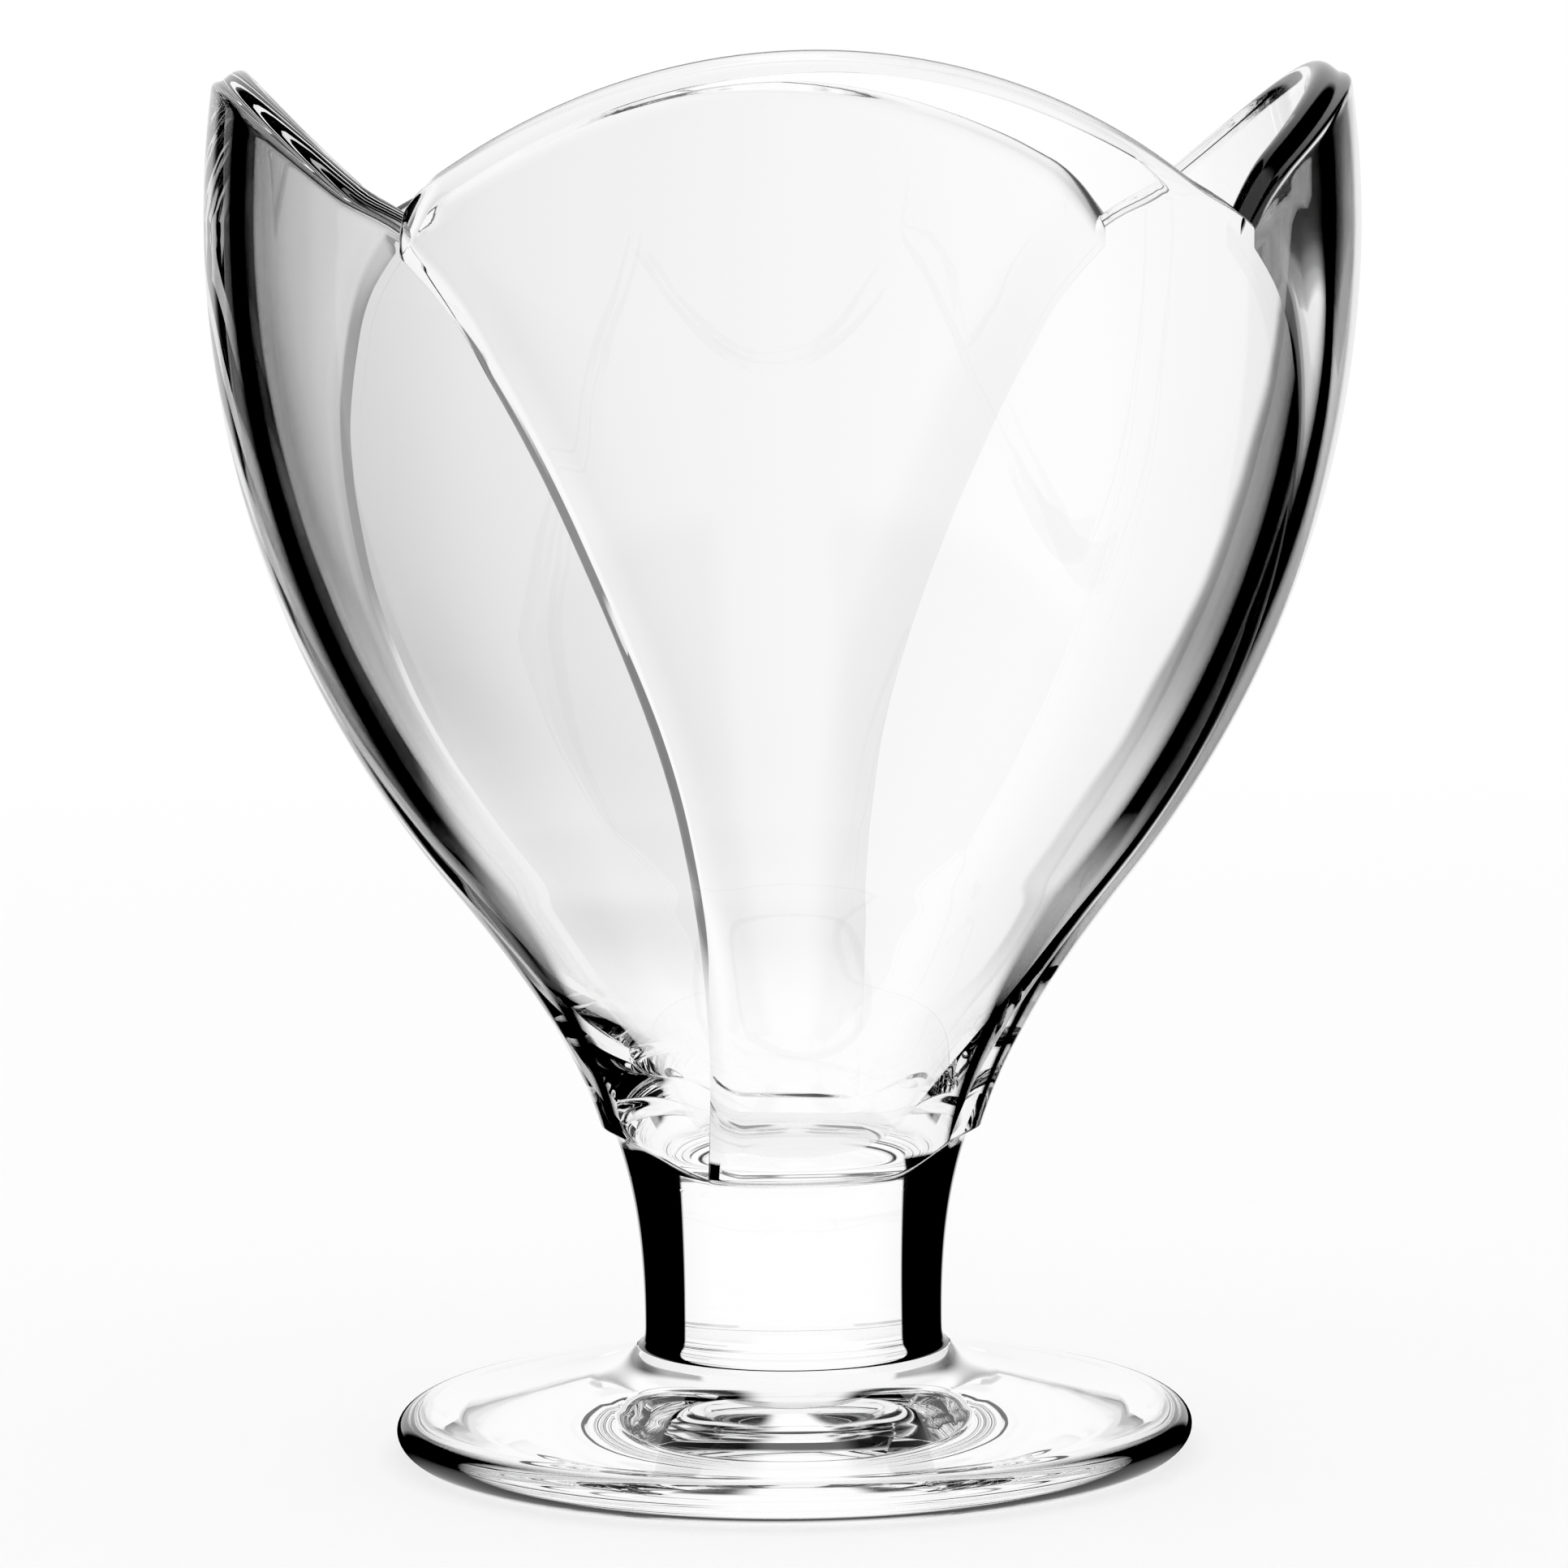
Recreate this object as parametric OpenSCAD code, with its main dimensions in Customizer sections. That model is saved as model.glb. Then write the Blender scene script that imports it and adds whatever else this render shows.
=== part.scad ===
// Footed sundae dish of clear pressed glass: four overlapping petals on a solid stem and a round foot.
// It stands on the table at z = 0, with its axis on Z. The front petal faces -Y.
// The petals turn like a pinwheel: seen from outside, each petal's left edge lies over its neighbour.

/* [Bowl] */
// Height of the petal tips above the table
overall_h = 124.5; // [120:0.5:134]
// Radius of the bowl's round at its widest place, before the petals are shifted
belly_r = 50.7; // [47:0.1:55]
// Height of that widest place
belly_z = 110; // [106:0.5:114]
// Radius of the long arc that the bowl's side follows
belly_arc_r = 92; // [86:0.5:100]
// Height where the side turns from the long arc into the stem's sweep
turn_z = 52; // [48:0.5:56]
// Thickness of the bowl's wall
wall = 4.2; // [3.4:0.1:5.2]
// Height of the cavity's floor
floor_z = 27.5; // [26.8:0.1:30]
// Radius of the flat middle of that floor
floor_r = 7; // [5:0.1:8.4]

/* [Petals] */
// Radius of the arc along a petal's top edge, seen from its front
petal_arc_r = 57; // [54:0.5:64]
// How far each petal is shifted towards its proud left edge
petal_lift = 0.9; // [0.5:0.05:1.3]
// Distance from a petal's centre line to its left edge, low on the bowl
edge_low_x = 8.7; // [6:0.1:10]
// The same distance at the notch beside the petal
edge_notch_x = 35.5; // [32:0.1:38]
// Height where the left edge starts to sweep outwards
edge_sweep_z = 34; // [30:0.5:44]

/* [Stem] */
// Radius of the stem's waist
waist_r = 13.45; // [12:0.05:14]
// Height of the waist
waist_z = 11; // [10.4:0.1:14]
// Height of the stem's top, where the petals and the floor stand on it
stem_top_z = 25.5; // [22:0.1:26.2]

/* [Foot] */
// Radius of the foot
foot_r = 36; // [34:0.1:40]
// Height of the foot's widest place
foot_edge_z = 2.3; // [1.8:0.1:2.8]
// Outer radius of the ring that rests on the table
rest_r = 32.6; // [30:0.1:33.5]
// Radius where the foot's round edge meets its upper side
shoulder_r = 33.3; // [31:0.1:33.8]
// Height of the upper side there
shoulder_z = 4.2; // [3.4:0.1:5]
// Radius of the crease between the foot and the stem
neck_r = 14.2; // [14.05:0.05:15]
// Height of that crease
neck_z = 9.6; // [8.6:0.1:10.2]
// Radius of the shallow hollow under the foot
hollow_r = 26; // [18:0.5:29]
// Depth of that hollow
hollow_depth = 1.2; // [0.4:0.1:2.4]

/* [Hidden] */

// Clear glass has no colour of its own
clear_glass = [0.86, 0.9, 0.92];
// The seams between the petals stand a quarter turn apart, and a notch lies half way between two petals
quarter_turn = 90;
notch_turn = quarter_turn / 2;
// How far cutting blocks run past what they cut
overrun = wall;
reach = belly_r + petal_lift + overrun;
// Straight pieces along each curve, and faces round each circle
curve_steps = 12;
edge_steps = 6;
round_fn = 96;

// Pulls of the curves, as shares of the height or width that each curve spans
stem_pull_share = 0.36;
belly_pull_share = 0.55;
floor_pull_share = 0.22;
cavity_pull_share = 0.78;
foot_shoulder_pull_shares = [0.43, 0.17];
foot_neck_pull_shares = [0.18, 0.56];

// The long arc and the point where it hands over to the sweep, with its direction there
arc_mid_r = belly_r - belly_arc_r;
turn_drop = belly_z - turn_z;
turn_side = sqrt(pow(belly_arc_r, 2) - pow(turn_drop, 2));
turn_dir = [turn_drop / belly_arc_r, turn_side / belly_arc_r];
turn_point = [arc_mid_r + turn_side, turn_z];
inner_turn_point = turn_point - wall * [turn_dir[1], -turn_dir[0]];

// A petal's top edge and its left edge, seen from the petal's front
petal_arc_z = overall_h - petal_arc_r;
notch_z = petal_arc_z + sqrt(pow(petal_arc_r, 2) - pow(edge_notch_x, 2));
edge_rise = notch_z - edge_sweep_z;
edge_run = edge_notch_x - edge_low_x;
edge_arc_r = (pow(edge_rise, 2) + pow(edge_run, 2)) / (2 * edge_run);

// Point at share t of a curve that leaves a towards b and reaches d from c
function curve_point(a, b, c, d, t) =
    pow(1 - t, 3) * a + 3 * pow(1 - t, 2) * t * b + 3 * (1 - t) * pow(t, 2) * c + pow(t, 3) * d;

function curve(a, b, c, d) =
    [for (i = [0 : curve_steps]) curve_point(a, b, c, d, i / curve_steps)];

// The long arc from height low_z up to height high_z, for the outer or the inner side
function side_arc(arc_r, low_z, high_z) = [
    for (i = [1 : curve_steps])
        let (z = low_z + (high_z - low_z) * i / curve_steps)
        [arc_mid_r + sqrt(pow(arc_r, 2) - pow(belly_z - z, 2)), z]
];

// Outer side from the waist through the sweep to the top of the long arc
sweep_rise = turn_z - waist_z;
outer_side = concat(
    curve(
        [waist_r, waist_z],
        [waist_r, waist_z + stem_pull_share * sweep_rise],
        turn_point - belly_pull_share * sweep_rise * turn_dir,
        turn_point
    ),
    side_arc(belly_arc_r, turn_z, overall_h + overrun)
);

// Inner side from the flat of the floor to the top of the wall
cavity_rise = inner_turn_point[1] - floor_z;
inner_side = concat(
    curve(
        [floor_r, floor_z],
        [floor_r + floor_pull_share * (inner_turn_point[0] - floor_r), floor_z],
        inner_turn_point - cavity_pull_share * cavity_rise * turn_dir,
        inner_turn_point
    ),
    side_arc(belly_arc_r - wall, inner_turn_point[1], overall_h + 2 * overrun)
);

// Everything inside the outer side, from the waist to above the rim
module outer_round() {
    top_z = outer_side[len(outer_side) - 1][1];
    rotate_extrude($fn = round_fn)
        polygon(concat([[0, waist_z]], outer_side, [[0, top_z]]));
}

// The space inside the bowl
module cavity() {
    top_z = inner_side[len(inner_side) - 1][1];
    rotate_extrude($fn = round_fn)
        polygon(concat([[0, floor_z]], inner_side, [[0, top_z]]));
}

// All that lies right of a petal's left edge, seen from its front, above the stem
module right_of_edge() {
    difference() {
        translate([-reach, stem_top_z])
            square([2 * reach, overall_h + overrun - stem_top_z]);
        translate([-edge_low_x - edge_arc_r, edge_sweep_z])
            circle(r = edge_arc_r, $fn = round_fn);
        translate([-reach - overrun, stem_top_z - overrun])
            square([reach + overrun - edge_low_x, edge_sweep_z - stem_top_z + overrun]);
    }
}

// The fan shape of one petal, seen from its front
module petal_outline() {
    intersection() {
        right_of_edge();
        union() {
            translate([0, petal_arc_z])
                circle(r = petal_arc_r, $fn = round_fn);
            translate([-reach - overrun, stem_top_z - overrun])
                square([2 * (reach + overrun), petal_arc_z - stem_top_z + overrun]);
        }
    }
}

// Stands a flat outline up and draws it out from the axis towards the petal's front
module drawn_to_front(length) {
    rotate([90, 0, 0])
        linear_extrude(height = length)
            children();
}

// One petal, turned a number of quarters from the front one
module petal(turns) {
    rotate([0, 0, turns * quarter_turn])
        difference() {
            intersection() {
                translate(-petal_lift * [cos(notch_turn), sin(notch_turn), 0])
                    outer_round();
                drawn_to_front(reach)
                    petal_outline();
            }
            cavity();
            floor_seat();
            rotate([0, 0, quarter_turn])
                drawn_to_front(reach + overrun)
                    right_of_edge();
        }
}

// The round space that the bowl's floor fills between the petals
module floor_seat() {
    translate([0, 0, stem_top_z - overrun])
        cylinder(r = floor_r, h = floor_z - stem_top_z + 2 * overrun, $fn = round_fn);
}

module petal_front() {
    color(clear_glass) petal(0);
}

module petal_right() {
    color(clear_glass) petal(1);
}

module petal_back() {
    color(clear_glass) petal(2);
}

module petal_left() {
    color(clear_glass) petal(3);
}

// The disc of glass that closes the bowl above the stem
module bowl_floor() {
    color(clear_glass)
        translate([0, 0, stem_top_z])
            cylinder(r = floor_r, h = floor_z - stem_top_z, $fn = round_fn);
}

// The solid stem, with a small fillet at its base
module stem() {
    fillet_run = neck_r - waist_r;
    fillet_rise = waist_z - neck_z;
    fillet = [
        for (i = [0 : edge_steps])
            let (a = 90 * i / edge_steps)
            [neck_r - fillet_run * sin(a), waist_z - fillet_rise * cos(a)]
    ];
    color(clear_glass)
        union() {
            rotate_extrude($fn = round_fn)
                polygon(concat([[0, neck_z]], fillet, [[0, waist_z]]));
            intersection() {
                outer_round();
                translate([0, 0, waist_z - overrun])
                    cylinder(r = reach, h = stem_top_z - waist_z + overrun, $fn = round_fn);
            }
        }
}

// The round foot, with its rounded edge and the hollow underneath
module foot() {
    hollow = [
        for (i = [0 : curve_steps])
            let (share = i / curve_steps)
            [hollow_r * share, hollow_depth * (1 - pow(share, 2))]
    ];
    lower_edge = [
        for (i = [0 : edge_steps])
            let (a = 90 * i / edge_steps)
            [rest_r + (foot_r - rest_r) * sin(a), foot_edge_z * (1 - cos(a))]
    ];
    upper_edge = [
        for (i = [1 : edge_steps])
            let (a = 90 * i / edge_steps)
            [shoulder_r + (foot_r - shoulder_r) * cos(a), foot_edge_z + (shoulder_z - foot_edge_z) * sin(a)]
    ];
    shoulder = [shoulder_r, shoulder_z];
    neck = [neck_r, neck_z];
    span = [neck_r - shoulder_r, neck_z - shoulder_z];
    upper_side = curve(
        shoulder,
        shoulder + [span[0] * foot_shoulder_pull_shares[0], span[1] * foot_shoulder_pull_shares[1]],
        neck - [span[0] * foot_neck_pull_shares[0], span[1] * foot_neck_pull_shares[1]],
        neck
    );
    dome = [for (i = [1 : curve_steps]) upper_side[i]];
    color(clear_glass)
        rotate_extrude($fn = round_fn)
            polygon(concat(hollow, lower_edge, upper_edge, dome, [[0, neck_z]]));
}

foot();
stem();
bowl_floor();
petal_front();
petal_right();
petal_back();
petal_left();
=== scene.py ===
import math  # noqa: E402

import bpy  # noqa: E402
import numpy as np  # noqa: E402
from bpy.props import FloatProperty, FloatVectorProperty, IntProperty, PointerProperty  # noqa: E402
from mathutils import Matrix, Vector  # noqa: E402


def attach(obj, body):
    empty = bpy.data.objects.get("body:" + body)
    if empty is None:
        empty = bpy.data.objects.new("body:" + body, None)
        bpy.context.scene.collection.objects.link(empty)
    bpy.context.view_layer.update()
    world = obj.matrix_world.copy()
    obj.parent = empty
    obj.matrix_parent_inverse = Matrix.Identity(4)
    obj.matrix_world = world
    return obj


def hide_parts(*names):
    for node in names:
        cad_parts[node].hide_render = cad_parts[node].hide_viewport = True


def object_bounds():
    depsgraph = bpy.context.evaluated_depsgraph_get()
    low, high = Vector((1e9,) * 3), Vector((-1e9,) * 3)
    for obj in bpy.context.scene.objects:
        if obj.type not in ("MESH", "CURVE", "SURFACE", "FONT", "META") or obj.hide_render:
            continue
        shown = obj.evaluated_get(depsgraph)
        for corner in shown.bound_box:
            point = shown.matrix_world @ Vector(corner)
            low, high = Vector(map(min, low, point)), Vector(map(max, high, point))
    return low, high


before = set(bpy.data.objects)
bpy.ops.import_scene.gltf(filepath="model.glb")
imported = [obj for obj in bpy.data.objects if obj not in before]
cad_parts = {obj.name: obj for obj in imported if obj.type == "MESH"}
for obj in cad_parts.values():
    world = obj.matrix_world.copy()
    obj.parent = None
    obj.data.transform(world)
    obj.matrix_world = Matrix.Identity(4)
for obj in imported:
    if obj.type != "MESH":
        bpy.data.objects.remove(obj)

bl_info = {
    "name": "Footed sundae dish",
    "version": (1, 0, 0),
    "blender": (4, 5, 0),
    "location": "View3D > Sidebar > Dish",
    "description": "Builds a footed sundae dish of clear pressed glass, with its stage",
    "category": "Object",
}

# Box of the CAD model, straight after loading
CAD_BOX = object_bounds()
MM = 0.001
QUARTER = math.pi / 2
PETALS = ("petal_front", "petal_right", "petal_back", "petal_left")
BODY = "root"

# How far the pieces stay inside the CAD's outer side
INSET = 0.01 * MM
# How near to a flat end a face counts as part of it
NEAR = 0.01 * MM


# -------- sizes and colours


def length(name, text, default):
    """A size in metres."""
    return FloatProperty(name=name, description=text, default=default, unit="LENGTH", precision=5)


class DishSizes(bpy.types.PropertyGroup):
    """Sizes of the dish, in metres."""

    overall_h: length("Height", "Height of the petal tips above the table", CAD_BOX[1][2])
    belly_r: length("Belly radius", "Radius of the bowl's round at its widest place", 0.0507)
    belly_z: length("Belly height", "Height of that widest place", 0.110)
    belly_arc_r: length("Side arc", "Radius of the long arc of the bowl's side", 0.092)
    turn_z: length("Turn height", "Height where the side turns into the stem's sweep", 0.052)
    wall: length("Wall, low", "Thickness of the wall round the basin, low in the bowl", 0.0042)
    wall_high: length("Wall, high", "Thickness of the wall from above the basin to the rim", 0.0031)
    floor_z: length("Floor height", "Height of the cavity's floor", 0.0275)
    floor_r: length("Floor radius", "Radius of the flat middle of that floor", 0.007)
    petal_arc_r: length("Petal arc", "Radius of the arc along a petal's top edge", 0.057)
    petal_lift: length("Petal lift", "How far a petal is shifted towards its proud edge", 0.0009)
    edge_low_x: length("Edge, low", "Distance from a petal's middle to its left edge, low down", 0.0087)
    edge_notch_x: length("Edge, notch", "The same distance at the notch", 0.0355)
    edge_sweep_z: length("Edge sweep height", "Height where the left edge starts to sweep out", 0.034)
    round_left: length("Rounding, left", "How much thinner a petal is at its left end", 0.0005)
    edge_rib: length("Edge rib", "Height of the rib on the front and left petals' edges", 0.0007)
    edge_band: length("Edge band", "Width of the rounded band along those edges", 0.0034)
    soft_band: length("Soft edge band", "Width of the softer band on the right and back petals", 0.006)
    waist_r: length("Waist radius", "Radius of the stem's waist", 0.01345)
    waist_z: length("Waist height", "Height of the waist", 0.011)
    stem_top_z: length("Stem top", "Height where petals and floor stand on the stem", 0.0255)
    foot_r: length("Foot radius", "Radius of the foot", 0.036)
    foot_edge_z: length("Foot edge height", "Height of the foot's widest place", 0.0023)
    rest_r: length("Resting radius", "Outer radius of the ring that rests on the table", 0.0326)
    shoulder_r: length("Shoulder radius", "Radius where the foot's edge meets its upper side", 0.0333)
    shoulder_z: length("Shoulder height", "Height of the upper side there", 0.0042)
    neck_r: length("Neck radius", "Radius of the crease between foot and stem", 0.0142)
    neck_z: length("Neck height", "Height of that crease", 0.0096)
    hollow_r: length("Hollow radius", "Radius of the shallow hollow under the foot", 0.0165)
    hollow_depth: length("Hollow depth", "Depth of that hollow", 0.0003)
    rest_gap: length("Gap", "How far the underside stands off the table inside its resting ring", 0.00012)
    columns: IntProperty(name="Columns", description="Columns of faces across a petal", default=72, min=20)
    turns: IntProperty(name="Turns", description="Faces round the foot and the stem", default=160, min=16)


class DishLooks(bpy.types.PropertyGroup):
    """Finish of the glass."""

    tint: FloatVectorProperty(
        name="Tint", description="Colour of the clear glass", subtype="COLOR",
        default=(1.0, 1.0, 1.0), min=0.0, max=1.0,
    )
    ior: FloatProperty(name="Refraction", description="Index of refraction of soda-lime glass", default=1.5)
    wave_depth: FloatProperty(
        name="Wave depth", description="Depth of the gentle waves that pressing leaves in the glass",
        default=0.00004, unit="LENGTH", precision=6,
    )


# -------- curves of the dish

# Pulls of the curves, as shares of the height or width that each curve spans
STEM_PULL, BELLY_PULL = 0.36, 0.55
FLOOR_PULL, CAVITY_PULL = 0.22, 0.78
FOOT_SHOULDER_PULLS, FOOT_NECK_PULLS = (0.43, 0.17), (0.18, 0.56)
CURVE_STEPS = 2001

# Pairs below say where a form starts and over what length it comes in
WALL_THINS = (32 * MM, 14 * MM)
# A petal is rounded towards its left end over this height above the stem
ROUNDING_RISE = 25 * MM
# The left edge bows out half way up
EDGE_BOW, BOW_STARTS, BOW_ENDS = 1.0 * MM, (60 * MM, 25 * MM), (98 * MM, 8 * MM)
# Its upper corner swells, at heights against the belly's
EDGE_SWELL, SWELL_STARTS, SWELL_ENDS = 2.0 * MM, (-11 * MM, 11.5 * MM), (0.0, 2.1 * MM)
# Angle near which a petal's left edge is looked for
EDGE_GUESS = -0.6
# The ledge stands higher at the dish's left and right, by the sine of the angle round the dish
LEDGE_Z, LEDGE_RISE, LEDGE_SIDES = 26.3 * MM, 2.9 * MM, (0.5, 0.5)


def smooth(t):
    """0 below 0, 1 above 1, and a soft rise between."""
    t = np.clip(t, 0.0, 1.0)
    return t * t * (3.0 - 2.0 * t)


def ramp(value, span):
    """0 before the span's start, 1 past its length, and a soft rise between."""
    start, run = span
    return smooth((value - start) / run)


def curve(points, t):
    """Points at shares t of the curve that leaves the first point towards the second."""
    a, b, c, d = (np.asarray(p, float) for p in points)
    t = np.asarray(t, float)[..., None]
    return (1 - t) ** 3 * a + 3 * (1 - t) ** 2 * t * b + 3 * (1 - t) * t**2 * c + t**3 * d


def radius_at(points, z):
    """Radius of such a curve at the heights z, where it rises all the way."""
    z = np.asarray(z, float)
    t = np.linspace(0.0, 1.0, CURVE_STEPS)
    share = np.interp(z, curve(points, t)[:, 1], t)
    step, least_rise = 1e-5, 1e-4
    for _ in range(2):
        here = curve(points, share)[..., 1]
        rise = (curve(points, share + step)[..., 1] - here) / step
        share = np.clip(share + (z - here) / np.maximum(rise, least_rise), 0.0, 1.0)
    return curve(points, share)[..., 0]


class Form:
    """The curves of the dish, worked out from its sizes."""

    def __init__(self, s):
        self.s = s
        self.mid_r = s.belly_r - s.belly_arc_r
        drop = s.belly_z - s.turn_z
        side = math.sqrt(s.belly_arc_r**2 - drop**2)
        across, up = drop / s.belly_arc_r, side / s.belly_arc_r
        turn = np.array([self.mid_r + side, s.turn_z])
        way = np.array([across, up])
        rise = s.turn_z - s.waist_z
        self.sweep = (
            (s.waist_r, s.waist_z),
            (s.waist_r, s.waist_z + STEM_PULL * rise),
            turn - BELLY_PULL * rise * way,
            turn,
        )
        inner = turn - s.wall * np.array([up, -across])
        rise = inner[1] - s.floor_z
        self.inner_turn = inner
        self.basin = (
            (s.floor_r, s.floor_z),
            (s.floor_r + FLOOR_PULL * (inner[0] - s.floor_r), s.floor_z),
            inner - CAVITY_PULL * rise * way,
            inner,
        )
        self.petal_arc_z = s.overall_h - s.petal_arc_r
        run = s.edge_notch_x - s.edge_low_x
        notch = self.petal_arc_z + math.sqrt(s.petal_arc_r**2 - s.edge_notch_x**2)
        self.edge_arc_r = ((notch - s.edge_sweep_z) ** 2 + run**2) / (2 * run)
        # Both ends of a petal's rim are this high, which is where the arc meets the next petal
        right_end = self.edge_angle(notch) + QUARTER
        self.notch_z = float(self.rim_arc(self.outer_r(notch, right_end) * np.sin(right_end)))

    def on_arc(self, z, arc_r, low):
        """Radius of the long arc at the heights z, and below low its radius there."""
        drop = np.minimum(self.s.belly_z - z, self.s.belly_z - low)
        return self.mid_r + np.sqrt(arc_r**2 - drop**2)

    def side_r(self, z):
        """Outer radius of the bowl's round and of the stem."""
        z = np.asarray(z, float)
        low = self.s.turn_z
        arc = self.on_arc(z, self.s.belly_arc_r, low)
        return np.where(z >= low, arc, radius_at(self.sweep, np.minimum(z, low)))

    def inner_r(self, z):
        """Radius of the cavity."""
        z = np.asarray(z, float)
        low = self.inner_turn[1]
        arc = self.on_arc(z, self.s.belly_arc_r - self.s.wall, low)
        return np.where(z >= low, arc, radius_at(self.basin, np.minimum(z, low))) + self.thinned(z)

    def thinned(self, z):
        """How much the wall loses by height, above the basin."""
        return (self.s.wall - self.s.wall_high) * ramp(z, WALL_THINS)

    def outer_r(self, z, a):
        """Outer radius of a petal at height z and angle a from its middle."""
        across = 2 * (a - self.edge_angle(z)) / QUARTER - 1
        rounded = self.s.round_left * np.clip(-across, 0, None) ** 2
        return self.plain_r(z, a) - rounded * ramp(z, (self.s.stem_top_z, ROUNDING_RISE))

    def plain_r(self, z, a):
        """The same radius before the petal's left half is rounded."""
        turned = a + QUARTER / 2
        r = self.side_r(z) - INSET
        lift = self.s.petal_lift
        return lift * np.cos(turned) + np.sqrt(r**2 - (lift * np.sin(turned)) ** 2)

    def edge_x(self, z):
        """Distance of a petal's left edge from its middle."""
        s = self.s
        rise = np.clip(z - s.edge_sweep_z, 0.0, None)
        x = s.edge_low_x + self.edge_arc_r - np.sqrt(self.edge_arc_r**2 - rise**2)
        bow = EDGE_BOW * ramp(z, BOW_STARTS) * (1 - ramp(z, BOW_ENDS))
        above = z - s.belly_z
        return x + bow + EDGE_SWELL * ramp(above, SWELL_STARTS) * (1 - ramp(above, SWELL_ENDS))

    def edge_angle(self, z):
        """Angle of a petal's left edge from its middle."""
        a = EDGE_GUESS * np.ones_like(np.asarray(z, float))
        for _ in range(4):
            a = -np.arcsin(self.edge_x(z) / self.plain_r(z, a))
        return a

    def rim_arc(self, x):
        """Height of a petal's arc at distance x from its middle."""
        return self.petal_arc_z + np.sqrt(self.s.petal_arc_r**2 - x**2)

    def ledge_z(self, turned):
        """Height of the ledge where the petals start, by the angle round the dish."""
        return LEDGE_Z + LEDGE_RISE * ramp(np.abs(np.sin(turned)), LEDGE_SIDES)


# -------- meshes


def along(points, axis):
    """Directions along a grid of points, without its first and last ones on that axis."""
    p = np.moveaxis(points, axis, 0)
    back, ahead = p[1:-1] - p[:-2], p[2:] - p[1:-1]
    near = np.linalg.norm(back, axis=-1, keepdims=True) + 1e-12
    far = np.linalg.norm(ahead, axis=-1, keepdims=True) + 1e-12
    return np.moveaxis((ahead * near / far + back * far / near) / (near + far), 0, axis)


def unit(v):
    """The same directions with a length of 1."""
    return v / np.maximum(np.linalg.norm(v, axis=-1, keepdims=True), 1e-15)


def catmull(y, t, at):
    """A smooth curve through values y at t."""
    d = np.gradient(y, t)
    i = np.clip(np.searchsorted(t, at, side="right") - 1, 0, len(t) - 2)
    u = at - t[i]
    return (
        (2 * u**3 - 3 * u**2 + 1) * y[i]
        + (u**3 - 2 * u**2 + u) * d[i]
        + (3 * u**2 - 2 * u**3) * y[i + 1]
        + (u**3 - u**2) * d[i + 1]
    )


def volume(points, faces):
    """The space inside a closed mesh, below zero where its faces point inwards."""
    fans = np.array([(f[0], f[i], f[i + 1]) for f in faces for i in range(1, len(f) - 1)])
    a, b, c = (points[fans[:, k]] for k in range(3))
    return float(np.einsum("ij,ij->", a, np.cross(b, c))) / 6


def glass_mesh(name, points, faces, seams, normals, materials):
    """A closed mesh of smooth glass; seams marks the flat faces that are fused to a neighbour."""
    mesh = bpy.data.meshes.new(name)
    mesh.from_pydata(points.tolist(), [], faces)
    for each in materials:
        mesh.materials.append(each)
    mesh.polygons.foreach_set("material_index", [int(fused) for fused in seams])
    mesh.polygons.foreach_set("use_smooth", [True] * len(faces))
    mesh.update()
    sides = [len(face) for face in faces]
    corner = np.array([normals[v] for face in faces for v in face])
    fused = np.repeat(np.array(seams, bool), sides)
    flat = np.repeat(np.array([p.normal[:] for p in mesh.polygons]), sides, axis=0)
    corner[fused] = flat[fused]
    mesh.normals_split_custom_set(corner.tolist())
    mesh.validate()
    return mesh


# Section of the rim, in millimetres: distance from the outer side, and height above the rim's own line
RIM = (
    (0.0, -3.0), (0.0, -2.2), (0.0, -1.6), (0.06, -1.28), (0.25, -1.07),
    (0.55, -0.98), (0.85, -0.93), (1.1, -0.8), (1.4, -0.54), (1.75, -0.27),
    (2.15, -0.08), (2.6, 0.0), (3.0, -0.05), (3.35, -0.2), (3.7, -0.48),
    (3.95, -0.85), (4.12, -1.3), (4.2, -1.85), (4.2, -2.4), (4.2, -3.0),
)
RIM_DROP = 3.0 * MM
# Shares of a petal's width over which its rim comes down to the notch, and over which the rim starts to lean
RIM_END, RIM_LEAN = (0.9, 0.1), (0.0, 0.08)

# Columns in the band along the left edge, and how they crowd at the edge
EDGE_COLUMNS, EDGE_CROWDING = 16, 1.5
# Rows below the ledge, on it, and above it
LOW_ROWS, LEDGE_ROWS, SIDE_ROWS, QUICK_SIDE_ROWS = 4, 14, 152, 60
# Height of the ledge at the seam, height of its rows, and height of the basin's upper end
SEAM_LEDGE_Z, LEDGE_ROWS_H, BASIN_TOP_Z = 27.7 * MM, 1.4 * MM, 42 * MM
# How far the row for directions lies below the first, and points along the basin's curve
ROW_BELOW, PATH_STEPS = 0.4 * MM, 600

# The rib falls off across the petal, and is higher near the notch
RIB_FALL, RIB_GROWTH, RIB_GROWS = 3 * MM, 0.8, (84 * MM, 20 * MM)
# Below this every edge is melted soft
EDGE_HARDENS = (42 * MM, 20 * MM)
# The ledge is a step with a bump over it that fades upwards
LEDGE_STEP, LEDGE_BUMP, BUMP_FALL, BUMP_ENDS = (0.0, 0.55 * MM), 0.38 * MM, 5 * MM, (8 * MM, 8 * MM)
# Shares of an edge's band and of its rise that its steep face takes, and how softly it turns into the shoulder
FACE, FACE_RISE, FACE_BLEND = 0.33, 0.76, 0.18
SOFT_EDGE_POWER = 1.6


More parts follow.
